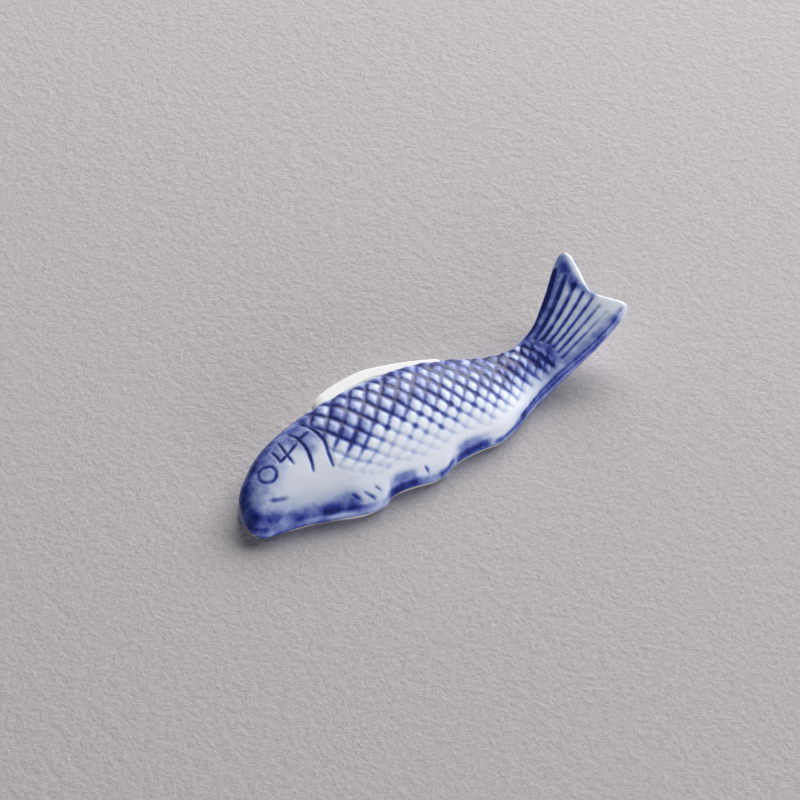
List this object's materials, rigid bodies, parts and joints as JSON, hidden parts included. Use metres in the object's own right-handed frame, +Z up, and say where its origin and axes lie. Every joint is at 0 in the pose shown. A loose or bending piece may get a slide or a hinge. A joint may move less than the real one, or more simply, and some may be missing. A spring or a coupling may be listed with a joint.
{
  "type": "chopstick rest",
  "caption": "Glazed porcelain chopstick rest shaped as a fish lying on its side, with a flat foot, pressed scales and a raised forked tail; the dip at the tail root holds the chopsticks.",
  "frame": {"origin": "on the table, below the middle of the whole fish", "axes": "+X from the nose to the tail, +Y from the belly fins to the back fin, +Z up from the table"},
  "size_m": [0.0734, 0.0239, 0.01],
  "materials": {
    "biscuit": "bare fired white clay, matt, free of glaze at the foot",
    "glaze": "glossy bluish-white clear glaze over cobalt blue brush painting"
  },
  "bodies": {
    "root": {"porcelain_body": "biscuit", "glaze_coat": "glaze"}
  },
  "joints": []
}
